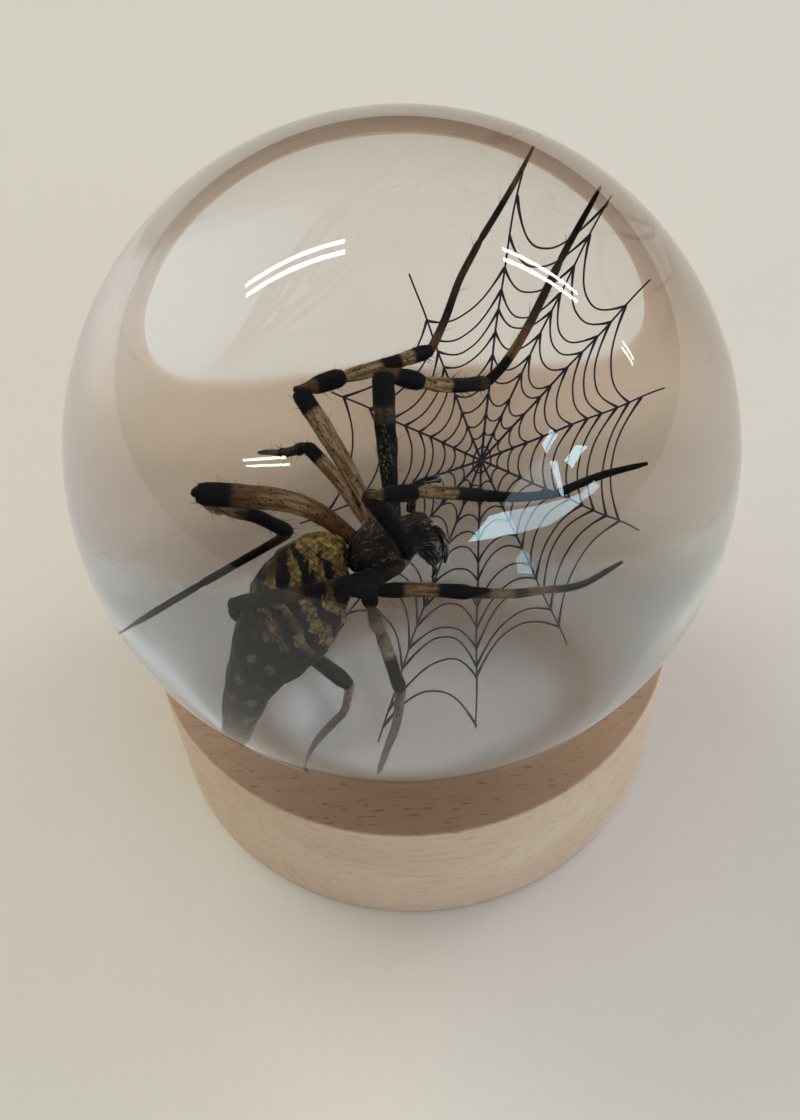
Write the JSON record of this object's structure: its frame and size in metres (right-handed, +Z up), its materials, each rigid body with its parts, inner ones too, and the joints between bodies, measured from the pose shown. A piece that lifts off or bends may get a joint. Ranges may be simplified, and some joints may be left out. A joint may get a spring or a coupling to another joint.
{
  "type": "spider and web in a clear resin ball on a wooden base",
  "caption": "Clear resin ball with a flat underside, holding a dried orb-weaving spider and a dark net web, standing on a plain turned beech disc.",
  "frame": {"origin": "centre of the wooden base's underside", "axes": "+Z up through the base and the ball, the viewer's side is -Y, with +X to the viewer's right"},
  "size_m": [0.07, 0.07, 0.0825],
  "materials": {
    "beech": "bare turned beech, fine flecks, edges just broken",
    "clear_resin": "polished clear cast resin, satin on its ground underside",
    "dried_spider": "dried skin, black and beige bands on the legs, ochre and black bands on the abdomen",
    "dark_net": "matt dark thread"
  },
  "bodies": {
    "root": {"wood_base": "beech", "resin_left": "clear_resin", "resin_right": "clear_resin", "spider": "dried_spider", "web": "dark_net"}
  },
  "joints": []
}
